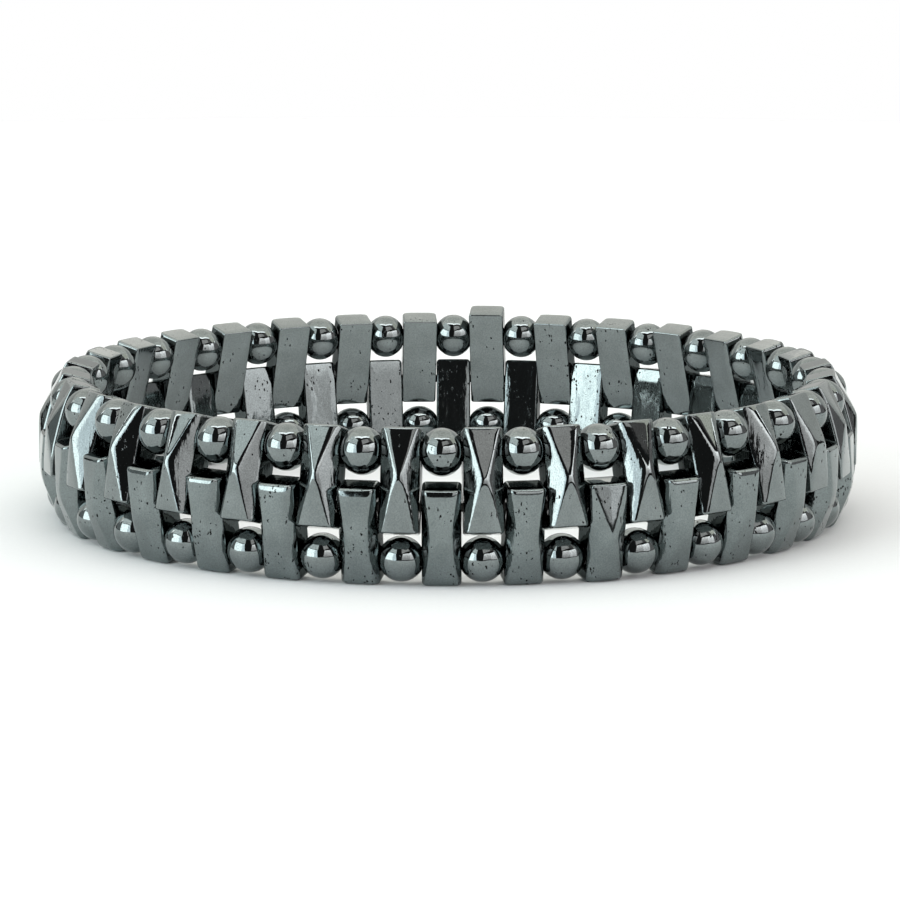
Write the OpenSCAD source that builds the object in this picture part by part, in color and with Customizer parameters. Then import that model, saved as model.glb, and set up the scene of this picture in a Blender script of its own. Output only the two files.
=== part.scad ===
// Stretch bracelet of polished hematite beads on three elastic cords.
// Tall two-hole beads with a pyramid-cut face stand in two staggered rows
// that mesh on the middle cord, and round beads fill the outer two cords.
// The loop lies on its rim: Z is up, and the photographed side faces -Y.

/* [Loop] */
// Number of beads of each of the four kinds round the loop
bead_count = 32; // [30:1:36]
// Smallest gap between neighbouring beads
bead_gap = 0.11; // [0.11:0.01:0.2]
// How far the first upper tall bead stands round from the front, in degrees
turn = 4.9; // [0:0.1:11]

/* [Tall beads] */
// Width of a tall bead along the cord
bead_w = 3.0; // [2.8:0.05:3.2]
// Depth of a tall bead at its side edges, from the wrist outwards
bead_d = 2.4; // [2.2:0.05:2.4]
// Length of a tall bead across the band
bead_l = 8.0; // [7.8:0.1:8.2]
// Height of the pyramid on the outer face
apex_h = 1.15; // [0.6:0.05:1.3]
// How far from the middle the pyramid's ridges meet the end edges
ridge_reach = 1.22; // [1.1:0.02:1.4]
// How far the side facets run down below the end edges, on to the side walls
side_drop = 0.45; // [0.1:0.05:0.5]
// Distance between the two holes of a tall bead
hole_pitch = 4.3; // [4.2:0.05:4.4]
// Inward lean of the upper tall beads at the top, in degrees
upper_lean = 15; // [12:0.5:16]
// Inward lean of the lower tall beads at the bottom, in degrees
lower_lean = 10.3; // [8:0.1:11]
// Radius of the rounded corners of the outline
corner_r = 0.3; // [0.2:0.05:0.5]

/* [Round beads] */
// Diameter of a round bead across the cord
round_d = 3.85; // [3.6:0.05:3.9]
// Diameter of the flat ground on each end of a round bead
round_flat_d = 1.3; // [1.3:0.1:1.6]

/* [Cords] */
// Diameter of the elastic cord
cord_d = 0.7; // [0.5:0.1:0.7]
// Diameter of the hole through every bead
hole_d = 1.0; // [0.9:0.1:1.1]

/* [Tall upper bead] */
// Which upper tall bead is cut longer than the rest
tall_bead = 16; // [1:1:30]
// How much further its top reaches
tall_extra = 0.7; // [0:0.1:0.8]

/* [Hidden] */
$fn = 48;
// Angle from one upper tall bead to the next
step = 360 / bead_count;
// How far crossed blocks and drills run past the bead
past = 1;

// Distance from a hole to the near end of its tall bead
hole_inset = (bead_l - hole_pitch) / 2;

// Heights of the cords: the lower tall beads stand on their outer bottom edges
lower_cord_z = hole_inset * cos(lower_lean) + bead_d / 2 * sin(lower_lean);
middle_cord_z = lower_cord_z + hole_pitch * cos(lower_lean);
upper_cord_z = middle_cord_z + hole_pitch * cos(upper_lean);

// Radii of the cords: the loop is as tight as bead_gap allows. The two rows come
// closest at their inner faces, which cross level with the middle cord.
inner_r = (bead_gap + bead_w / 2 * (1 + cos(step / 2))) / sin(step / 2);
middle_cord_r = inner_r + bead_d / 2 / cos(upper_lean);
upper_cord_r = middle_cord_r - hole_pitch * sin(upper_lean);
lower_cord_r = middle_cord_r - hole_pitch * sin(lower_lean);

// Length of a round bead: its end flats reach bead_gap from the tall beads'
// sides, which close in towards the wrist
round_l = 2 * ((upper_cord_r - round_flat_d / 2) * tan(step / 2)
    - bead_w / 2 / cos(step / 2) - bead_gap);

// A cord bows outwards across one bead, so its ring is moved out by half of this
cord_bow = pow(bead_w / 2, 2) / (2 * middle_cord_r);

upper_names = [for (i = [1 : bead_count]) str("upper_long_bead_", i < 10 ? "0" : "", i)];

// Turns its children from the front (-Y) round to one place on the loop
module at_place(place) {
    rotate([0, 0, turn + step * place]) children();
}

// Outline of a tall bead from the front, with round corners, centred
module rounded_outline(width, height) {
    square([width - 2 * corner_r, height], center = true);
    square([width, height - 2 * corner_r], center = true);
    for (x = [-1, 1], y = [-1, 1])
        translate([x * (width / 2 - corner_r), y * (height / 2 - corner_r)])
            circle(r = corner_r);
}

// Section along a tall bead, whose outer side (-Y) rises from its ends to the middle
module end_roof_section(length) {
    polygon([
        [-length / 2, bead_d / 2],
        [-length / 2, -bead_d / 2],
        [0, -bead_d / 2 - apex_h],
        [length / 2, -bead_d / 2],
        [length / 2, bead_d / 2]
    ]);
}

// Section across a tall bead: each side facet falls from the ridge, and steepens
// where it passes the level of the end edges
module side_roof_section() {
    polygon([
        [-bead_w / 2, bead_d / 2],
        [-bead_w / 2, -bead_d / 2 + side_drop],
        [-ridge_reach, -bead_d / 2],
        [0, -bead_d / 2 - apex_h],
        [ridge_reach, -bead_d / 2],
        [bead_w / 2, -bead_d / 2 + side_drop],
        [bead_w / 2, bead_d / 2]
    ]);
}

// One tall bead about the middle of its body, pyramid towards -Y.
// Two roofs crossed at right angles leave the four facets of the pyramid.
module long_bead(extra = 0) {
    full_l = bead_l + extra;
    difference() {
        translate([0, 0, extra / 2]) intersection() {
            linear_extrude(full_l + past, center = true) side_roof_section();
            rotate([0, 90, 0])
                linear_extrude(bead_w + past, center = true) end_roof_section(full_l);
            rotate([90, 0, 0])
                linear_extrude(bead_d + 2 * apex_h + past, center = true)
                    rounded_outline(bead_w, full_l);
        }
        for (end = [-1, 1])
            translate([0, 0, end * hole_pitch / 2]) rotate([0, 90, 0])
                cylinder(d = hole_d, h = bead_w + past, center = true);
    }
}

// One drum-shaped bead along X: an arc turned about the cord, ends ground flat
module round_bead() {
    half_l = round_l / 2;
    flat_r = round_flat_d / 2;
    // The arc through the rim of the flat and the widest point is centred here
    arc_off = (pow(round_d / 2, 2) - pow(flat_r, 2) - pow(half_l, 2)) / (round_d - round_flat_d);
    rotate([0, 90, 0]) rotate_extrude() intersection() {
        translate([arc_off, 0]) circle(r = round_d / 2 - arc_off);
        translate([hole_d / 2, -half_l]) square([round_d, round_l]);
    }
}

// Closed ring of elastic cord
module cord(radius, height) {
    color("#26241f") translate([0, 0, height]) rotate_extrude($fn = 96)
        translate([radius + cord_bow / 2, 0]) circle(d = cord_d, $fn = 24);
}

module upper_long_bead(i) {
    color("#6f7678") at_place(i) translate([0, -middle_cord_r, middle_cord_z])
        rotate([-upper_lean, 0, 0]) translate([0, 0, hole_pitch / 2])
            long_bead(i + 1 == tall_bead ? tall_extra : 0);
}

module lower_long_beads() {
    color("#646b6d") for (i = [0 : bead_count - 1])
        at_place(i + 0.5) translate([0, -middle_cord_r, middle_cord_z])
            rotate([lower_lean, 0, 0]) translate([0, 0, -hole_pitch / 2]) long_bead();
}

module upper_round_beads() {
    color("#7b8184") for (i = [0 : bead_count - 1])
        at_place(i + 0.5) translate([0, -upper_cord_r, upper_cord_z]) round_bead();
}

module lower_round_beads() {
    color("#585e60") for (i = [0 : bead_count - 1])
        at_place(i) translate([0, -lower_cord_r, lower_cord_z]) round_bead();
}

module upper_cord() {
    cord(upper_cord_r, upper_cord_z);
}

module middle_cord() {
    cord(middle_cord_r, middle_cord_z);
}

module lower_cord() {
    cord(lower_cord_r, lower_cord_z);
}

for (i = [0 : bead_count - 1])
    upper_long_bead(i);
lower_long_beads();
upper_round_beads();
lower_round_beads();
upper_cord();
middle_cord();
lower_cord();
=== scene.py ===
import math

import bpy
import numpy as np
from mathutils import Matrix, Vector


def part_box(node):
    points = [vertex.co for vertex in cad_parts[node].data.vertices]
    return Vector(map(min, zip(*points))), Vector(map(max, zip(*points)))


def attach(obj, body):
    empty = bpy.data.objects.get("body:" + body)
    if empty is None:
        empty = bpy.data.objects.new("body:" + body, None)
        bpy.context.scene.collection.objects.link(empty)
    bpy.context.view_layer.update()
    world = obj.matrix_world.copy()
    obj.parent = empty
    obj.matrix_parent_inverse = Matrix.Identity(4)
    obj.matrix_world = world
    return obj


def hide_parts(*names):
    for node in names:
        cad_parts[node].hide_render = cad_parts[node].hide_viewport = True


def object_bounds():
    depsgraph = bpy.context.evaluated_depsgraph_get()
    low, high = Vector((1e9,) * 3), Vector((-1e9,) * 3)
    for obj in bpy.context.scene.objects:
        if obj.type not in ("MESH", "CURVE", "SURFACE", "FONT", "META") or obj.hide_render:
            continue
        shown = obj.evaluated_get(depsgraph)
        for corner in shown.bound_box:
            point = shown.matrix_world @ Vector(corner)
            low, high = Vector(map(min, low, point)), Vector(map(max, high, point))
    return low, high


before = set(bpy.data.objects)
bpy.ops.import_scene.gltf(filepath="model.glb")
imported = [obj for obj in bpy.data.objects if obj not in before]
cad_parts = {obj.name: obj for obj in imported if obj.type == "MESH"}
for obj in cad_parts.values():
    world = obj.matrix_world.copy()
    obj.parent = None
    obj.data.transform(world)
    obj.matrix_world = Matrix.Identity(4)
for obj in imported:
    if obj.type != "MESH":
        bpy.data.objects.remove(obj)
cad_low, cad_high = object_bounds()

# Upper tall beads
# Bars of hematite, sawn, drilled across twice, ground on the outer face to a low four-sided point
# and tumbled to a mirror. The upper cord runs through their upper holes and the middle cord through
# the lower ones, and they lean in at the top, because the stretched upper cord pulls them together.
MM = 0.001
solid_width = 3.0 * MM
bead_width = 3.09 * MM
bead_depth = 2.4 * MM
bead_length = 8.0 * MM
hole_pitch = 4.3 * MM
bore_radius = 0.5 * MM
bore_chamfer = 0.06 * MM
cord_diameter = 0.7 * MM
upper_lean = math.radians(15)
upper_corner = 0.24 * MM
upper_edge = 0.12 * MM
upper_rise = 1.13 * MM

# How far the first bead stands round from the front
turn = math.radians(4.9)

# One bead at the back is longer at the top, and the two in front are longer at the bottom
tall_bead_number = 16
tall_bead_extra = 0.7 * MM
front_beads = (32, 1)
front_bead_extra = 0.27 * MM

# One bead has a wide, blunt ridge, and the beads at both ends of the loop have flatter side facets.
# The slopes of their side facets, in the upper and the lower half, are set, and so are those in front.
blunt_bead = 6
blunt_flat = (0.9 * MM, 1.0 * MM)
end_beads = (7, 8, 9, 24, 25, 26)
end_flat = (0.3 * MM, 0.3 * MM)
set_slopes = {number: (1.2, 1.4) for number in (*front_beads, blunt_bead)}
set_slopes.update({number: (0.6, 0.6) for number in end_beads})

# How many points stand along a side, along an end and round a corner of a bead's outline, and how
# many rings of them lie on its front, round an edge, down its walls and on its back
side_columns = 17
end_columns = 9
corner_columns = 4
front_steps = 14
edge_steps = 4
wall_steps = 3
back_steps = 3

# The ground face keeps clear of the bores, and a point counts as on a face within a hair of it
bore_clearance = 0.04 * MM
least_wall = 0.03 * MM
hair = 0.005 * MM

# A polished point is marked from 0 to 1 by how far it lies on a side facet, and a sawn one by this, which
# the material turns into painted shade
sawn_mark = 2.0

# The usual turn of a bead on its cords, in degrees, and the share of it about each of its axes
bead_slack = 0.45
axis_slack = {"X": 0.8, "Y": 0.35, "Z": 1.3}

upper_nodes = sorted(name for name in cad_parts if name.startswith("upper_long_bead"))
bead_count = len(upper_nodes)
step = 2 * math.pi / bead_count


def cord_ring(node):
    """Radius and height of the points where a cord meets the middles of its beads, from the CAD ring.
    The ring was moved out by half of the bow that a cord makes across one bead, and the bow is the
    square of the bead's half width over twice the radius."""
    low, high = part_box(node)
    radius = (high.x - low.x) / 2 - cord_diameter / 2
    bow = (solid_width / 2) ** 2 / (2 * radius)
    return radius - bow / 2, (low.z + high.z) / 2


def crowded_ends(count):
    """Numbers from -1 to 1, the sine of equal angles, so that they stand closer towards both ends."""
    return np.sin(np.pi / 2 * np.linspace(-1, 1, count))


def bead_outline(low, high, corner):
    """Front outline of a tall bead, anticlockwise from its lower right corner: a rectangle with round
    corners. Each point is an arc centre plus the corner radius times an outward direction, and on a
    straight side the centre runs along the side instead. Returns centres and directions in X and Z."""
    half_w = bead_width / 2 - corner
    middle, half_l = (low + high) / 2, (high - low) / 2 - corner
    side_z = crowded_ends(side_columns) * half_l + middle
    end_x = -crowded_ends(end_columns) * half_w
    quarter_arc = np.radians(np.linspace(0, 90, corner_columns + 2)[1:-1])
    centres, directions = [], []
    for quarter, (across, up) in enumerate([(1, 1), (-1, 1), (-1, -1), (1, -1)]):
        corner_x, corner_z = across * half_w, middle + up * half_l
        if quarter % 2 == 0:
            side = np.column_stack([np.full(side_columns, corner_x), side_z * up + middle * (1 - up)])
            outward = (across, 0)
        else:
            side = np.column_stack([end_x * up, np.full(end_columns, corner_z)])
            outward = (0, up)
        arc = quarter_arc + quarter * np.pi / 2
        centres += [side, np.tile([corner_x, corner_z], (corner_columns, 1))]
        directions += [np.tile(outward, (len(side), 1)), np.column_stack([np.cos(arc), np.sin(arc)])]
    return np.vstack(centres), np.vstack(directions)


def bore_collar(points, border, side, hole):
    """Fills one half of a side wall's window round its bore mouth with three rings. From each point of
    the border they run straight towards the bore's middle: half of the way to the mouth, on the mouth's
    rim, and in the bore, sunk by the chamfer. Returns all points, the new faces and the last ring."""
    middle = [0, hole * hole_pitch / 2]
    span = points[border][:, 1:] - middle
    unit = span / np.linalg.norm(span, axis=1)[:, None]
    rim_radius = bore_radius + bore_chamfer
    onward = np.roll(np.arange(len(border)), -1)
    faces = []
    for share, radius, sunk in ((0.5, rim_radius, 0), (1, rim_radius, 0), (1, bore_radius, bore_chamfer)):
        flat = span + (unit * radius - span) * share + middle
        x = np.full(len(border), side * (bead_width / 2 - sunk))
        ring = len(points) + np.arange(len(border))
        points = np.vstack([points, np.column_stack([x, flat])])
        between = np.column_stack([border, border[onward], ring[onward], ring])
        faces.append(between if side == 1 else between[:, ::-1])
        border = ring
    return points, faces, border


def tall_bead(low, high, corner, edge):
    """A tall bead before its face is ground: a bar with rounded edges and two bores along X.
    Rings run from the middle of the front over the edge, along the walls and over the other edge to
    the middle of the back. Each is the outline, drawn in by a share of the way or by an inset, at one
    depth. Each side wall has a window left out, filled by two collars, and the bores join the sides.
    Returns points, four-cornered faces, which of these are bored, and three-cornered faces."""
    centres, directions = bead_outline(low, high, corner)
    cols = len(centres)
    half_d = bead_depth / 2
    middle = np.array([0, (low + high) / 2])
    front_shares = (1 - np.cos(np.pi * np.linspace(0, 1, front_steps + 1)[1:])) / 2
    bend = np.radians(np.linspace(0, 90, edge_steps + 1)[1:])
    wall_y = np.linspace(-half_d + edge, half_d - edge, wall_steps + 1)[1:]
    rings = [(share, edge, -half_d) for share in front_shares]
    rings += [(1, edge * (1 - math.sin(b)), -half_d + edge * (1 - math.cos(b))) for b in bend]
    rings += [(1, 0, y) for y in wall_y]
    rings += [(1, edge * (1 - math.cos(b)), half_d - edge * (1 - math.sin(b))) for b in bend]
    rings += [(share, edge, half_d) for share in np.linspace(1, 0, back_steps + 1)[1:-1]]
    blocks = [[[0, -half_d, middle[1]]]]
    for share, inset, y in rings:
        flat = middle + share * (centres + (corner - inset) * directions - middle)
        blocks.append(np.column_stack([flat[:, 0], np.full(cols, y), flat[:, 1]]))
    blocks.append([[0, half_d, middle[1]]])
    points = np.vstack(blocks)
    back_pole = len(points) - 1
    end = len(rings) - 1

    # The window of a side wall reaches from the first to the last of these rings, and from the start
    # of the straight side to its top column. The two collars part at its middle column.
    first = front_steps + edge_steps - 1
    last = first + wall_steps
    left_start = cols // 2
    top_col = side_columns - 1
    middle_col = top_col // 2

    def at(ring, col):
        return 1 + ring * cols + col % cols

    def wall(side, ring, col):
        return at(ring, col if side == 1 else left_start + top_col - col)

    ring_no, col_no = np.meshgrid(np.arange(end), np.arange(cols), indexing="ij")
    in_window = (ring_no >= first) & (ring_no < last) & (col_no % left_start < top_col)
    ring, col = ring_no[~in_window], col_no[~in_window]
    outside = [np.column_stack([at(ring, col), at(ring + 1, col), at(ring + 1, col + 1), at(ring, col + 1)])]
    around = np.arange(cols)
    tris = np.vstack([
        np.column_stack([np.zeros(cols, int), at(0, around), at(0, around + 1)]),
        np.column_stack([at(end, around), np.full(cols, back_pole), at(end, around + 1)]),
    ])
    mouths = {}
    for side in (1, -1):
        between = len(points) + np.arange(wall_steps - 1)
        points = np.vstack([points, [[side * bead_width / 2, y, middle[1]] for y in wall_y[:-1]]])
        upper = np.concatenate([
            wall(side, last, np.arange(middle_col, side_columns)),
            wall(side, np.arange(last - 1, first, -1), top_col),
            wall(side, first, np.arange(top_col, middle_col - 1, -1)),
            between,
        ])
        lower = np.concatenate([
            [wall(side, last, middle_col)],
            between[::-1],
            wall(side, first, np.arange(middle_col, -1, -1)),
            wall(side, np.arange(first + 1, last), 0),
            wall(side, last, np.arange(middle_col)),
        ])
        for hole, border in ((1, upper), (-1, lower)):
            points, faces, mouths[side, hole] = bore_collar(points, border, side, hole)
            outside += faces
    bores = []
    for hole in (1, -1):
        right, left = mouths[1, hole], mouths[-1, hole]
        onward = np.roll(np.arange(len(right)), -1)
        bores.append(np.column_stack([right, right[onward], left[onward], left]))
    outside, bores = np.vstack(outside), np.vstack(bores)
    quads = np.vstack([outside, bores])
    bored = np.arange(len(quads)) >= len(outside)
    return points, quads, bored, tris


def ground_front(points, low, high, rise, flat, slope, bow, blend, soft_x, soft_z, rim, end_round, shift):
    """Grinds and wears the front of a bar to its four-sided point. Two depths below the point are worked
    out. The one along the bar grows evenly from the middle to the rise at the ends, and on a narrow rim
    at the top, given by its length and slope, more steeply. The one across starts beyond a flat strip
    and grows with a slope and with the bow times the square of the way, so that the side facets bulge.
    Flat and slope are pairs, for the upper and the lower half, which turn into each other round the
    middle. Both depths are rounded off at zero over the lengths soft_x and soft_z, and shift moves the
    point across and along. The larger of the two is half of their sum and of the root of their squared
    difference and a squared blend, which rounds the ridges. The top and the bottom end are rounded off
    by a quarter ellipse seen from the side, each given by its length along the bar and its depth. All of
    it fades out on the walls before the bores, so that these and the back stay straight.
    Returns the points and the mark of each: how far it lies on a side facet, or that it is sawn."""
    halves_meet = 0.6 * MM
    rim_softness = 0.03 * MM
    facet_fade = 0.15 * MM
    half_w, half_l, half_d = bead_width / 2, (high - low) / 2, bead_depth / 2
    x, y = points[:, 0], points[:, 1]
    z = points[:, 2] - (high + low) / 2
    moved_x = x - shift[0] * (1 - (x / half_w) ** 2)
    moved_z = z - shift[1] * (1 - (z / half_l) ** 2)
    upper_share = (1 + np.tanh(moved_z / halves_meet)) / 2
    flat = flat[0] * upper_share + flat[1] * (1 - upper_share)
    slope = slope[0] * upper_share + slope[1] * (1 - upper_share)
    past = np.hypot([0 * moved_x, moved_x], soft_x) - flat
    past = (past + np.hypot(past, soft_x)) / 2
    way = past[1] - past[0]
    depth_across = slope * way + bow * way ** 2
    depth_along = rise * (np.hypot(moved_z, soft_z) - soft_z) / (math.hypot(half_l, soft_z) - soft_z)
    on_rim = z - half_l + rim[0]
    depth_along += rim[1] * (on_rim + np.hypot(on_rim, rim_softness)) / 2
    depth = (depth_across + depth_along + np.hypot(depth_across - depth_along, blend)) / 2
    drop = np.zeros(len(points))
    for end, (round_length, round_depth) in zip((1, -1), end_round):
        reached = np.clip((half_l - end * z) / round_length, 0, 1)
        drop += round_depth * (1 - np.sqrt(1 - (1 - reached) ** 2))
    clear_of_bore = bore_radius + bore_chamfer + bore_clearance
    spread = np.clip((-y - clear_of_bore) / (half_d - clear_of_bore), 0, 1)
    bent = points.copy()
    bent[:, 1] += spread * np.minimum(drop + depth - rise, half_d - clear_of_bore - least_wall)
    on_facet = np.clip((depth_across - depth_along) / facet_fade, 0, 1)
    # Sawn side walls get the sawn mark, which their material turns into painted shade
    return bent, np.where(np.abs(x) > half_w - hair, sawn_mark, on_facet)


def turned(points, axis, angle):
    """Points turned about one of the axes X, Y or Z by an angle, anticlockwise from its far end."""
    one, other = [(1, 2), (2, 0), (0, 1)]["XYZ".index(axis)]
    moved = points.copy()
    moved[:, one] = points[:, one] * math.cos(angle) - points[:, other] * math.sin(angle)
    moved[:, other] = points[:, one] * math.sin(angle) + points[:, other] * math.cos(angle)
    return moved


def on_loop(points, place, radius, height):
    """Moves points out from the axis to a radius and height at the front, then round to their place."""
    return turned(points + [0, -radius, height], "Z", turn + step * place)


def seated_loosely(points, random):
    """Turns a bead a little about its own three axes, as the slack of its bores allows."""
    for axis, share in axis_slack.items():
        points = turned(points, axis, math.radians(random.normal(0, bead_slack * share)))
    return points


def make_piece(name, points, quads, materials, tris=(), bored=None, marks=None):
    """A smooth mesh piece at the origin from arrays of points, four-cornered and three-cornered faces.
    bored marks the four-cornered faces that take the second material, and marks holds one number for
    each point, which its material reads as side_facet."""
    mesh = bpy.data.meshes.new(name)
    mesh.from_pydata(points.tolist(), [], quads.tolist() + np.asarray(tris).tolist())
    mesh.polygons.foreach_set("use_smooth", np.ones(len(mesh.polygons), bool))
    for material in materials:
        mesh.materials.append(material)
    if bored is not None:
        second = np.zeros(len(mesh.polygons), np.int32)
        second[:len(quads)][bored] = 1
        mesh.polygons.foreach_set("material_index", second)
    if marks is not None:
        side_facet = mesh.attributes.new("side_facet", "FLOAT", "POINT")
        side_facet.data.foreach_set("value", marks.astype(np.float32))
    piece = bpy.data.objects.new(name, mesh)
    bpy.context.scene.collection.objects.link(piece)
    return piece


def linear(hex_colour):
    """An sRGB hex colour as the linear RGBA that shaders take."""
    parts = [int(hex_colour[i:i + 2], 16) / 255 for i in (1, 3, 5)]
    return [p / 12.92 if p <= 0.04045 else ((p + 0.055) / 1.055) ** 2.4 for p in parts] + [1]


def add_node(material, kind, settings=None, **inputs):
    """Adds a shader node with its settings. An input is a number, a colour or another node's output,
    and its key is the socket's name, or an underscore and the socket's number."""
    node = material.node_tree.nodes.new(kind)
    for key, value in (settings or {}).items():
        setattr(node, key, value)
    for key, value in inputs.items():
        socket = node.inputs[int(key[1:]) if key[1:].isdigit() else key.replace("_", " ")]
        if isinstance(value, bpy.types.NodeSocket):
            material.node_tree.links.new(value, socket)
        else:
            socket.default_value = value
    return node


def new_material(name):
    """An empty node material and its output node."""
    material = bpy.data.materials.new(name)
    material.use_nodes = True
    material.node_tree.nodes.clear()
    return material, add_node(material, "ShaderNodeOutputMaterial")


# What shows in the polish of the stone. Streaks and pits are drawn out along the bead, because their
# patterns are worked out on a height that is multiplied by a share.
cloud_size = 2.2 * MM
peel_size = 0.9 * MM
grain_size = 0.1 * MM
streak_gap = 0.3 * MM
streak_share = 0.07
pit_cell = 0.21 * MM
pit_share_along = 0.6
largest_pit = 0.4
pit_depth = 0.012 * MM
pit_colour = "#1f2020"
pit_roughness = 0.5
tear_size = 0.15 * MM
tear_reach = (0.2 * MM, 0.2 * MM, 0.4 * MM)
crowding = 1.4
# Share of colour and low-angle shine left on sawn faces: painted shade for the shade between and under
# neighbouring beads
sawn_painted_shade = 0.4


def hematite(name, colour, roughness, pit_share, peel_height, streak_height):
    """Tumble-polished hematite: dense iron oxide with a dark steel lustre, so it is shaded as a metal
    with a low reflectance. Tumbling leaves a faint orange peel about 0.9 mm across and a grain of
    0.1 mm. The grinding leaves streaks along the bead about 0.3 mm apart, deepest on the side facets,
    and the stone has ragged open pits, dull and dark inside, of up to 0.17 by 0.28 mm, which come in
    crowds. pit_share is the share of 0.21 mm cells that hold a pit, away from the crowds. Faces left
    from the saw are painted much darker than polished ones, and shine less at a low angle too: painted
    shade for the shade between and under neighbouring beads."""
    material, output = new_material(name)
    place = add_node(material, "ShaderNodeTexCoord").outputs["Object"]
    mark = add_node(material, "ShaderNodeAttribute", {"attribute_name": "side_facet"}).outputs["Fac"]
    cloud = add_node(material, "ShaderNodeTexNoise", {}, Vector=place, Scale=1 / cloud_size, Detail=3.0)
    peel = add_node(material, "ShaderNodeTexNoise", {}, Vector=place, Scale=1 / peel_size, Detail=1.0)
    grain = add_node(material, "ShaderNodeTexNoise", {}, Vector=place, Scale=1 / grain_size, Detail=1.0)
    stretched = add_node(material, "ShaderNodeMapping", {}, Vector=place, Scale=(1, 1, streak_share))
    streak = add_node(material, "ShaderNodeTexNoise", {}, Vector=stretched.outputs[0],
                      Scale=1 / streak_gap, Detail=3.0)
    # Pits: cells with ragged borders, each held open by chance and by the crowd that it stands in
    torn = add_node(material, "ShaderNodeTexNoise", {}, Vector=place, Scale=1 / tear_size, Detail=1.0)
    ragged = add_node(material, "ShaderNodeVectorMath", {"operation": "MULTIPLY_ADD"},
                      _0=torn.outputs["Color"], _1=tear_reach, _2=place)
    drawn = add_node(material, "ShaderNodeMapping", {}, Vector=ragged.outputs[0],
                     Scale=(1, 1, pit_share_along))
    pits = add_node(material, "ShaderNodeTexVoronoi", {"feature": "F1"}, Vector=drawn.outputs[0],
                    Scale=1 / pit_cell)
    chance = add_node(material, "ShaderNodeSeparateColor", {}, Color=pits.outputs["Color"])
    crowd = add_node(material, "ShaderNodeMath", {"operation": "MULTIPLY_ADD"}, _0=cloud.outputs["Fac"],
                     _1=crowding, _2=chance.outputs[0])
    threshold = 1 + crowding / 2 - pit_share
    held = add_node(material, "ShaderNodeMapRange", {}, Value=crowd.outputs[0], From_Min=threshold,
                    From_Max=threshold + 0.2, To_Min=0.0, To_Max=largest_pit)
    depth = add_node(material, "ShaderNodeMath", {"operation": "SUBTRACT"}, _0=held.outputs[0],
                     _1=pits.outputs["Distance"])
    pit = add_node(material, "ShaderNodeMapRange", {}, Value=depth.outputs[0], From_Min=-0.02,
                   From_Max=0.05, To_Min=0.0, To_Max=1.0)
    # Colour: clouds and specks in the stone, darker in the pits, and painted shade on sawn faces for the
    # shade between and under neighbouring beads
    tone = add_node(material, "ShaderNodeMapRange", {}, Value=cloud.outputs["Fac"], From_Min=0.3,
                    From_Max=0.7, To_Min=0.88, To_Max=1.08)
    speck = add_node(material, "ShaderNodeMapRange", {}, Value=grain.outputs["Fac"], From_Min=0.3,
                     From_Max=0.7, To_Min=0.84, To_Max=1.16)
    # Painted shade: sawn faces darkened, and through the specular tint also in their shine at a low angle
    painted_sawn_shade = add_node(material, "ShaderNodeMapRange", {}, Value=mark, From_Min=1.0, From_Max=sawn_mark,
                    To_Min=1.0, To_Max=sawn_painted_shade)
    mottled = add_node(material, "ShaderNodeMath", {"operation": "MULTIPLY"}, _0=tone.outputs[0],
                       _1=speck.outputs[0])
    shade = add_node(material, "ShaderNodeMath", {"operation": "MULTIPLY"}, _0=mottled.outputs[0],
                     _1=painted_sawn_shade.outputs[0])
    base = add_node(material, "ShaderNodeMix", {"data_type": "RGBA", "blend_type": "MULTIPLY"}, _0=1.0,
                    _6=linear(colour), _7=shade.outputs[0])
    worn = add_node(material, "ShaderNodeMix", {"data_type": "RGBA"}, _0=pit.outputs[0],
                    _6=base.outputs[2], _7=linear(pit_colour))
    # Polish and relief: streaks in the gloss, then orange peel, streaks and pits as bumps
    gloss = add_node(material, "ShaderNodeMapRange", {}, Value=streak.outputs["Fac"], From_Min=0.3,
                     From_Max=0.75, To_Min=roughness * 0.7, To_Max=roughness * 1.5)
    rough = add_node(material, "ShaderNodeMix", {"data_type": "FLOAT"}, _0=pit.outputs[0],
                     _2=gloss.outputs[0], _3=pit_roughness)
    groove = add_node(material, "ShaderNodeMapRange", {}, Value=mark, From_Min=0.0, From_Max=1.0,
                      To_Min=0.12, To_Max=1.0)
    grooved = add_node(material, "ShaderNodeMath", {"operation": "MULTIPLY"}, _0=streak.outputs["Fac"],
                       _1=groove.outputs[0])
    peeled = add_node(material, "ShaderNodeBump", {}, Strength=1.0, Distance=peel_height,
                      Height=peel.outputs["Fac"])
    streaked = add_node(material, "ShaderNodeBump", {}, Strength=1.0, Distance=streak_height,
                        Height=grooved.outputs[0], Normal=peeled.outputs[0])
    pitted = add_node(material, "ShaderNodeBump", {"invert": True}, Strength=1.0, Distance=pit_depth,
                      Height=pit.outputs[0], Normal=streaked.outputs[0])
    # The specular tint carries the painted shade of sawn faces into their low-angle shine
    shader = add_node(material, "ShaderNodeBsdfPrincipled", {}, Base_Color=worn.outputs[2], Metallic=1.0,
                      Roughness=rough.outputs[0], Specular_Tint=painted_sawn_shade.outputs[0], Normal=pitted.outputs[0])
    material.node_tree.links.new(shader.outputs[0], output.inputs["Surface"])
    return material


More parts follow.
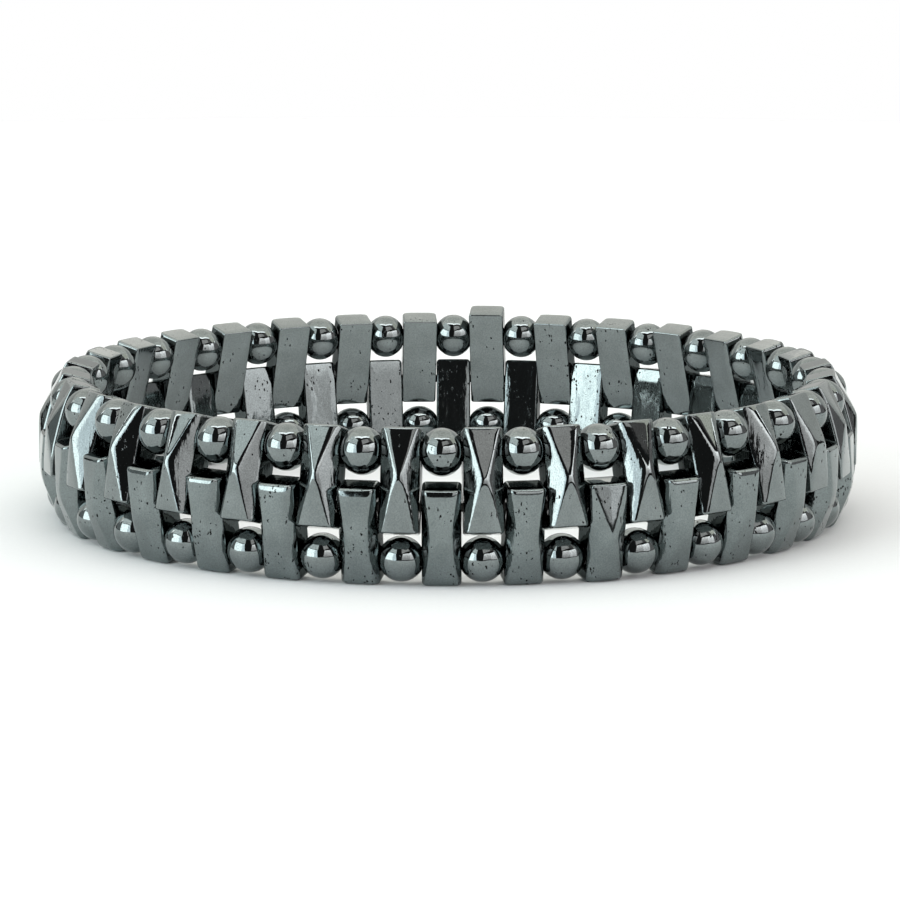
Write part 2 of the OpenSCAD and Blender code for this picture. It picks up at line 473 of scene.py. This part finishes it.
def drilled_hematite():
    """The walls of the drilled holes, left as the drill made them: matt, and a dull reddish grey,
    because ground hematite is the red of rust. The drill's grit leaves marks about 0.05 mm across."""
    grit_size = 0.05 * MM
    grit_height = 0.004 * MM
    material, output = new_material("drilled_hematite")
    place = add_node(material, "ShaderNodeTexCoord").outputs["Object"]
    grit = add_node(material, "ShaderNodeTexNoise", {}, Vector=place, Scale=1 / grit_size, Detail=2.0)
    tone = add_node(material, "ShaderNodeMix", {"data_type": "RGBA"}, _0=grit.outputs["Fac"],
                    _6=linear("#3a3433"), _7=linear("#5a504d"))
    bump = add_node(material, "ShaderNodeBump", {}, Strength=1.0, Distance=grit_height,
                    Height=grit.outputs["Fac"])
    shader = add_node(material, "ShaderNodeBsdfPrincipled", {}, Base_Color=tone.outputs[2], Metallic=0.0,
                      Roughness=0.55, Normal=bump.outputs[0])
    material.node_tree.links.new(shader.outputs[0], output.inputs["Surface"])
    return material


bored_stone = drilled_hematite()

# The last, fine tumbling leaves a mirror in which the bright walls keep a sharp edge
mirror_hematite = hematite("mirror_hematite", "#7d8484", roughness=0.045, pit_share=0.12,
                           peel_height=0.006 * MM, streak_height=0.017 * MM)

# Each bead's own wear and seat are drawn at random from a fixed seed. A set slope takes no draw.
random = np.random.default_rng(seed=7)
middle_radius, middle_height = cord_ring("middle_cord")
for number, node in enumerate(upper_nodes, 1):
    in_front = number in front_beads
    low = -bead_length / 2 - (front_bead_extra if in_front else 0)
    high = bead_length / 2 + (tall_bead_extra if number == tall_bead_number else 0)
    points, quads, bored, tris = tall_bead(low, high, upper_corner, upper_edge)
    ridge_flat = (0.05 * MM, random.uniform(0.05, 0.3) * MM)
    if in_front:
        ridge_flat = (0.2 * MM, random.uniform(0.3, 0.42) * MM)
    worn = dict(
        rise=upper_rise * random.uniform(0.96, 1.0),
        flat=ridge_flat,
        slope=set_slopes.get(number) or (random.uniform(0.94, 1.0), random.uniform(0.96, 1.04)),
        bow=0.0 if in_front else random.uniform(0.08, 0.12) / MM,
        blend=(0.14 if in_front else random.uniform(0.17, 0.25)) * MM,
        soft_x=(0.26 if in_front else random.uniform(0.1, 0.2)) * MM,
        soft_z=0.1 * MM,
        rim=(0.26 * MM, random.uniform(0.235, 0.255)),
        end_round=((0.1 * MM, 0.1 * MM), (0.12 * MM, 0.12 * MM)),
        shift=(random.normal(0, 0.05) * MM, random.normal(0, 0.15) * MM),
    )
    if number == blunt_bead:
        worn.update(flat=blunt_flat)
    if number in end_beads:
        worn.update(flat=end_flat, bow=0.0)
    points, marks = ground_front(points, low, high, **worn)
    points = seated_loosely(points, random) + [0, 0, hole_pitch / 2]
    points = on_loop(turned(points, "X", -upper_lean), number - 1, middle_radius, middle_height)
    piece = make_piece(node + "_polished", points, quads, [mirror_hematite, bored_stone], tris, bored, marks)
    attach(piece, "root")
    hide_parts(node)

# Lower tall beads
# The same bars, half a step round from the upper ones, hung from the middle cord and pulled in at the
# bottom by the lower cord. They are tumbled for longer, so that the point and its ridges are nearly
# rubbed away and the bottom edge is round, but their tops keep the face of the saw, darkened with
# painted shade for the shade under the round beads.
lower_lean = math.radians(10.3)
lower_corner = 0.34 * MM
lower_edge = 0.16 * MM
lower_rise = 0.88 * MM
bottom_round = (0.6 * MM, 0.6 * MM)

# One bead right of the front keeps a sharper point. It and three at the back stand more upright than
# the rest, by these degrees.
sharp_place = 1
sharp_wear = dict(
    rise=1.12 * MM,
    flat=(0, 0.4 * MM),
    slope=(0.78, 1.3),
    blend=0.32 * MM,
    soft_x=0.12 * MM,
    soft_z=0.1 * MM,
    end_round=((0.15 * MM, 0.15 * MM), bottom_round),
    shift=(0, -0.15 * MM),
)
upright_places = {sharp_place: 5.5, 10: 3, 11: 3, 12: 3}


def join(copies, *face_groups):
    """Many copies with like faces as one list of points, and each group of their faces as one list."""
    first = len(copies[0]) * np.arange(len(copies))[:, None, None]
    return [np.vstack(copies)] + [(faces + first).reshape(-1, faces.shape[1]) for faces in face_groups]


# A softer polish than the upper beads', with more open pits
tumbled_hematite = hematite("tumbled_hematite", "#7b8383", roughness=0.07, pit_share=0.18,
                            peel_height=0.007 * MM, streak_height=0.017 * MM)
low, high = -bead_length / 2, bead_length / 2
bar, quads, bored, tris = tall_bead(low, high, lower_corner, lower_edge)
lower_beads, lower_marks = [], []
for place in range(bead_count):
    worn = dict(
        rise=lower_rise * random.uniform(0.94, 1.0),
        flat=(random.uniform(0.65, 0.8) * MM, random.uniform(0.75, 0.9) * MM),
        slope=(random.uniform(1.4, 1.6), random.uniform(1.5, 1.8)),
        bow=0.0,
        blend=random.uniform(0.12, 0.2) * MM,
        soft_x=0.2 * MM,
        soft_z=random.uniform(0.3, 0.6) * MM,
        rim=(0.0, 0.0),
        end_round=((random.uniform(0.38, 0.46) * MM, 0.15 * MM), bottom_round),
        shift=(random.normal(0, 0.05) * MM, random.normal(0, 0.2) * MM),
    )
    if place == sharp_place:
        worn.update(sharp_wear)
    points, marks = ground_front(bar, low, high, **worn)
    # Their tops are marked as sawn, which paints them darker: painted shade under the round beads
    if place != sharp_place:
        marks[bar[:, 2] > high - hair] = sawn_mark
    points = seated_loosely(points, random) - [0, 0, hole_pitch / 2]
    points = turned(points, "X", lower_lean - math.radians(upright_places.get(place, 0)))
    points = on_loop(points, place + 0.5, middle_radius, middle_height)
    # Each stands on the table
    points[:, 2] -= points[:, 2].min() - cad_low.z
    lower_beads.append(points)
    lower_marks.append(marks)
points, quads, tris = join(lower_beads, quads, tris)
piece = make_piece("lower_long_beads_tumbled", points, quads, [tumbled_hematite, bored_stone], tris,
                   np.tile(bored, bead_count), np.concatenate(lower_marks))
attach(piece, "root")
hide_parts("lower_long_beads")

# Round beads
# Drums of hematite turned to an arc and tumbled, with the ends left flat where they meet the
# tall beads. One fills each gap between the tall beads on the upper cord, and one on the lower cord.
round_flat = 1.9 * MM

# The rim of a flat is broken from a little outside of it to a little inside
flat_rim_out = 0.02 * MM
flat_rim_in = 0.03 * MM

# How many points stand along the arc, and how many round the drum
arc_points = 25
round_sides = 40

# The smallest bead's share of the full size, and the usual turn of one on its cord, in degrees
smallest_share = 0.985
round_slack = 1.5


def round_bead(round_diameter, round_length):
    """A drum along X, turned about it: an arc through the rims of the two flats and the widest point,
    then the flat, a chamfer and the straight bore back to the start. Returns points, faces and which
    of these are bored."""
    half_l, flat_r, top_r = round_length / 2, round_flat / 2, round_diameter / 2
    arc_off = (top_r ** 2 - flat_r ** 2 - half_l ** 2) / (round_diameter - round_flat)
    arc_r = top_r - arc_off
    reach = math.asin(half_l / arc_r)
    swing = np.linspace(-reach, reach, arc_points + 2)[1:-1]
    arc = np.column_stack([arc_r * np.sin(swing), arc_off + arc_r * np.cos(swing)])
    end = [(half_l - flat_rim_out, flat_r + flat_rim_out), (half_l, flat_r - flat_rim_in),
           (half_l, bore_radius + bore_chamfer), (half_l - bore_chamfer, bore_radius)]
    start = [(-x, r) for x, r in end[::-1]]
    profile = np.vstack([start, arc, end])
    around = np.linspace(0, 2 * np.pi, round_sides, endpoint=False)
    x = np.repeat(profile[:, :1], round_sides, axis=1)
    y, z = profile[:, 1:] * np.cos(around), profile[:, 1:] * np.sin(around)
    points = np.stack([x, y, z], axis=2).reshape(-1, 3)
    row, col = np.meshgrid(np.arange(len(profile)), np.arange(round_sides), indexing="ij")
    here, there = row * round_sides, (row + 1) % len(profile) * round_sides
    onward = (col + 1) % round_sides
    quads = np.stack([here + col, here + onward, there + onward, there + col], axis=2).reshape(-1, 4)
    bored = quads[:, 0] >= (len(profile) - 1) * round_sides
    return points, quads, bored


# Turned and not ground, so it has hardly any streaks, but more of an orange peel
turned_hematite = hematite("turned_hematite", "#7d8484", roughness=0.05, pit_share=0.1,
                           peel_height=0.024 * MM, streak_height=0.001 * MM)
for row, offset, round_diameter, round_length in (
    ("upper", 0.5, 3.84 * MM, 3.08 * MM),
    ("lower", 0.0, 3.64 * MM, 3.17 * MM),
):
    bead, quads, bored = round_bead(round_diameter, round_length)
    radius, height = cord_ring(row + "_cord")
    beads = []
    for place in range(bead_count):
        points = bead * random.uniform(smallest_share, 1.0)
        points = turned(points, "X", random.uniform(0, 2 * np.pi))
        points = turned(points, "Z", math.radians(random.normal(0, round_slack)))
        beads.append(on_loop(points, place + offset, radius, height))
    points, quads = join(beads, quads)
    piece = make_piece(row + "_round_beads_polished", points, quads, [turned_hematite, bored_stone],
                       bored=np.tile(bored, bead_count))
    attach(piece, "root")
    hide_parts(row + "_round_beads")

# Elastic cords
# Three closed rings of stretch cord: a bundle of rubber threads in a dark textile sleeve. It runs
# straight through each bead and bends in the gaps, and its knot is hidden in a bead's bore.

# How many points of a cord's middle line go with each bead on it, and how many stand round it
cord_stations = 12
cord_sides = 16

# The sleeve's share of the solid's thickness, which keeps it inside the solid
sleeve_share = 0.98


def cord_material():
    """Black textile sleeve over rubber: matt, with the slanting ribs of its braid, drawn on the cord's
    own UV map, whose U runs along the cord and V round it, both in metres. Real ribs, about 0.12 mm
    apart, are too fine to show, so a wave of 0.75 mm draws them a third of a millimetre apart."""
    rib_wave = 0.75 * MM
    rib_height = 0.02 * MM
    material, output = new_material("elastic_cord_sleeve")
    place = add_node(material, "ShaderNodeUVMap", {"uv_map": "along"}).outputs[0]
    rib = add_node(material, "ShaderNodeTexWave", {"wave_type": "BANDS", "bands_direction": "DIAGONAL"},
                   Vector=place, Scale=1 / rib_wave, Distortion=1.0)
    tone = add_node(material, "ShaderNodeMix", {"data_type": "RGBA"}, _0=rib.outputs["Fac"],
                    _6=linear("#171614"), _7=linear("#33312d"))
    bump = add_node(material, "ShaderNodeBump", {}, Strength=1.0, Distance=rib_height,
                    Height=rib.outputs["Fac"])
    shader = add_node(material, "ShaderNodeBsdfPrincipled", {}, Base_Color=tone.outputs[2], Roughness=0.6,
                      IOR=1.5, Normal=bump.outputs[0])
    material.node_tree.links.new(shader.outputs[0], output.inputs["Surface"])
    return material


def cord_tube(radius, height):
    """Closed tube round the loop. Its middle line runs straight across each bead, so the radius there
    is the bead's radius over the cosine of the angle from the bead's middle. Returns points and faces
    with the UV of each face corner: the way along the loop and the way round the tube."""
    stations = bead_count * 2 * cord_stations
    angle = np.arange(stations + 1) / stations * 2 * np.pi
    from_bead = (angle / (step / 2) + 0.5) % 1 - 0.5
    line = radius / np.cos(from_bead * step / 2)
    round_tube = np.arange(cord_sides + 1) / cord_sides * 2 * np.pi
    tube = cord_diameter / 2 * sleeve_share
    out = line[:, None] + tube * np.cos(round_tube)
    up = np.broadcast_to(height + tube * np.sin(round_tube), out.shape)
    round_loop = (angle + turn)[:, None]
    points = np.stack([out * np.sin(round_loop), -out * np.cos(round_loop), up], axis=2)
    row, col = np.meshgrid(np.arange(stations), np.arange(cord_sides), indexing="ij")
    corners = [(row, col), (row + 1, col), (row + 1, col + 1), (row, col + 1)]
    quads = np.stack([r % stations * cord_sides + c % cord_sides for r, c in corners], axis=2)
    uv = [np.stack([angle[r] * radius, round_tube[c] * tube], axis=2) for r, c in corners]
    uv = np.stack(uv, axis=2)
    return points[:-1, :-1].reshape(-1, 3), quads.reshape(-1, 4), uv.reshape(-1, 2)


sleeve = cord_material()
for row in ("upper", "middle", "lower"):
    radius, height = cord_ring(row + "_cord")
    points, quads, uv = cord_tube(radius, height)
    piece = make_piece(row + "_cord_sleeve", points, quads, [sleeve])
    piece.data.uv_layers.new(name="along").data.foreach_set("uv", uv.astype(np.float32).ravel())
    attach(piece, "root")
    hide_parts(row + "_cord")

# Floor
# A round sheet of matt white card, 0.7 m across, which fills all but the top of the picture. Past its
# edge the front of the bracelet reflects the dark room.
floor_radius = 0.35
floor_corners = 64
tooth_size = 0.4 * MM


def matt_white_card():
    """White card: matt, with a faint tooth about 0.4 mm across, so that it takes only soft shadows."""
    material, output = new_material("matt_white_card")
    place = add_node(material, "ShaderNodeTexCoord").outputs["Object"]
    tooth = add_node(material, "ShaderNodeTexNoise", {}, Vector=place, Scale=1 / tooth_size, Detail=2.0)
    tone = add_node(material, "ShaderNodeMix", {"data_type": "RGBA"}, _0=tooth.outputs["Fac"],
                    _6=linear("#e7eaeb"), _7=linear("#eceff0"))
    shader = add_node(material, "ShaderNodeBsdfPrincipled", {}, Base_Color=tone.outputs[2], Roughness=0.8,
                      Specular_IOR_Level=0.2)
    material.node_tree.links.new(shader.outputs[0], output.inputs["Surface"])
    return material


corner_way = np.radians(np.arange(floor_corners) / floor_corners * 360)
floor_points = np.column_stack([np.cos(corner_way), np.sin(corner_way), 0 * corner_way]) * floor_radius
floor_mesh = bpy.data.meshes.new("floor")
floor_mesh.from_pydata(floor_points.tolist(), [], [list(range(floor_corners))])
floor_mesh.materials.append(matt_white_card())
floor = bpy.data.objects.new("floor", floor_mesh)
bpy.context.scene.collection.objects.link(floor)

# Light tent
# White cloth walls and ceiling lit from outside, with an open black front for the camera: the left
# wall is the brightest and cool, the right one dimmer and pinkish, the ceiling and back a warm grey.
tent_radius = 2.6
flap_radius = 2.5
tent_steps = 12


def tent_wall(name, corners, colour, low_glow, high_glow=None, radius=tent_radius):
    """A patch of the tent, seen from the beads between four corners, each an azimuth from the camera
    towards the right and an elevation, in degrees. The grid blends the four directions evenly and
    pushes them out to one radius. Its glow grows with the square of the way up, from low to high."""
    azimuth, elevation = np.radians(np.array(corners, float)).T
    level = np.cos(elevation)
    rays = np.column_stack([np.sin(azimuth) * level, -np.cos(azimuth) * level, np.sin(elevation)])
    even = np.linspace(0, 1, tent_steps + 1)
    s, t = np.meshgrid(even, even, indexing="ij")
    shares = [(1 - s) * (1 - t), s * (1 - t), s * t, (1 - s) * t]
    grid = sum(share[..., None] * ray for share, ray in zip(shares, rays))
    grid *= radius / np.linalg.norm(grid, axis=2)[..., None]
    row, col = np.meshgrid(np.arange(tent_steps), np.arange(tent_steps), indexing="ij")
    here = row * (tent_steps + 1) + col
    there = here + tent_steps + 1
    quads = np.stack([here, there, there + 1, here + 1], axis=2).reshape(-1, 4)
    mesh = bpy.data.meshes.new(name)
    mesh.from_pydata(grid.reshape(-1, 3).tolist(), [], quads.tolist())
    way_up = mesh.attributes.new("way_up", "FLOAT", "POINT")
    way_up.data.foreach_set("value", (t ** 2).ravel().astype(np.float32))
    material, output = new_material(name + "_lit_cloth")
    risen = add_node(material, "ShaderNodeAttribute", {"attribute_name": "way_up"}).outputs["Fac"]
    strength = add_node(material, "ShaderNodeMapRange", {}, Value=risen, From_Min=0.0, From_Max=1.0,
                        To_Min=low_glow, To_Max=high_glow or low_glow)
    glow = add_node(material, "ShaderNodeEmission", {}, Color=linear(colour), Strength=strength.outputs[0])
    material.node_tree.links.new(glow.outputs[0], output.inputs["Surface"])
    mesh.materials.append(material)
    wall = bpy.data.objects.new(name, mesh)
    bpy.context.scene.collection.objects.link(wall)
    wall.visible_camera = False


# Each wall by its name, its four corners in turn, its colour, and its glow below and above
tent_wall("left_near", [(-26, -1), (-43, -1), (-44, 32), (-33, 33)], "#eefaff", 2.6, 3.0)
tent_wall("left_wall", [(-43, -1), (-84, -1), (-88, 28), (-44, 32)], "#f6ffff", 4.4)
tent_wall("left_end", [(-84, -1), (-116, -1), (-116, 24), (-88, 28)], "#f6ffff", 0.4)
tent_wall("left_flap", [(-30, 33.3), (-92, 28.3), (-112, 50), (-34, 58)], "#f4fbfa", 1.7,
          radius=flap_radius)
tent_wall("right_near", [(3, 3.5), (44, 3.5), (44, 33), (10, 34)], "#fdf7f7", 1.05, 3.2)
tent_wall("right_wall", [(44, 3.5), (80, 2), (84, 30), (44, 33)], "#fdf8f9", 1.7, 4.0)
tent_wall("right_end", [(81, -1), (116, -1), (116, 24), (84, 30)], "#fff8f9", 0.35)
tent_wall("right_flap", [(5, 37), (54, 43), (54, 58), (0, 60)], "#fff8f6", 0.95, radius=flap_radius)
tent_wall("right_gap", [(54, 43), (80, 34), (80, 57), (54, 58)], "#fff8f6", 0.22, radius=flap_radius)
tent_wall("right_corner", [(80, 34), (110, 29), (110, 55), (80, 57)], "#fffdf0", 1.4, radius=flap_radius)
tent_wall("ceiling_front_left", [(-104, 28), (0, 77), (0, 90), (-140, 40)], "#fffdf6", 1.5)
tent_wall("ceiling_front_right", [(0, 77), (104, 28), (140, 40), (0, 90)], "#fffdf6", 1.5)
tent_wall("ceiling_hem_left", [(-104, 21), (0, 69), (0, 77), (-104, 28)], "#ffffff", 4.5)
tent_wall("ceiling_hem_right", [(0, 69), (104, 21), (104, 28), (0, 77)], "#ffffff", 4.5)
tent_wall("ceiling_back", [(-140, 40), (0, 90), (140, 40), (180, 16)], "#fffdf6", 1.3)
tent_wall("back_left", [(-104, 28), (-140, 40), (180, 16), (-128, -1)], "#fbfcf8", 0.9)
tent_wall("back_right", [(104, 28), (128, -1), (180, 16), (140, 40)], "#fbfcf8", 0.9)
tent_wall("back_low", [(-128, -1), (180, 16), (128, -1), (180, -1)], "#fbfcf8", 0.6)

# Room
# What shows past the tent and the floor. It is pale for the camera, as the card is, and nearly black
# for the beads to reflect.
pale_surround = linear("#ffffff")
dark_room = (0.03, 0.03, 0.03, 1)

world = bpy.data.worlds.new("room")
bpy.context.scene.world = world
world.use_nodes = True
world.node_tree.nodes.clear()
seen = add_node(world, "ShaderNodeLightPath").outputs["Is Camera Ray"]
shade = add_node(world, "ShaderNodeMix", {"data_type": "RGBA"}, _0=seen, _6=dark_room, _7=pale_surround)
backdrop = add_node(world, "ShaderNodeBackground", {}, Color=shade.outputs[2], Strength=1.0)
world_output = add_node(world, "ShaderNodeOutputWorld")
world.node_tree.links.new(backdrop.outputs[0], world_output.inputs["Surface"])
bpy.context.scene.view_settings.view_transform = "Standard"

# Camera
# A long lens a little above the rim, at the photographed angle. It aims at the loop's axis, below the
# middle of the band, and its two shifts bring the bracelet to its place in the picture.
camera_distance = 381.5 * MM
camera_elevation = math.radians(9.69)
camera_azimuth = math.radians(0.15)
aim_height = 5 * MM

camera_data = bpy.data.cameras.new("camera")
camera_data.sensor_width = 36
camera_data.lens = 179.9
camera_data.shift_x = 0.0021
camera_data.shift_y = 0.0024
camera_data.clip_start = 0.01
camera_data.clip_end = 20
camera = bpy.data.objects.new("camera", camera_data)
bpy.context.scene.collection.objects.link(camera)
level = camera_distance * math.cos(camera_elevation)
camera.location = (level * math.sin(camera_azimuth), -level * math.cos(camera_azimuth),
                   aim_height + camera_distance * math.sin(camera_elevation))
camera.rotation_euler = (math.pi / 2 - camera_elevation, 0, camera_azimuth)
bpy.context.scene.camera = camera
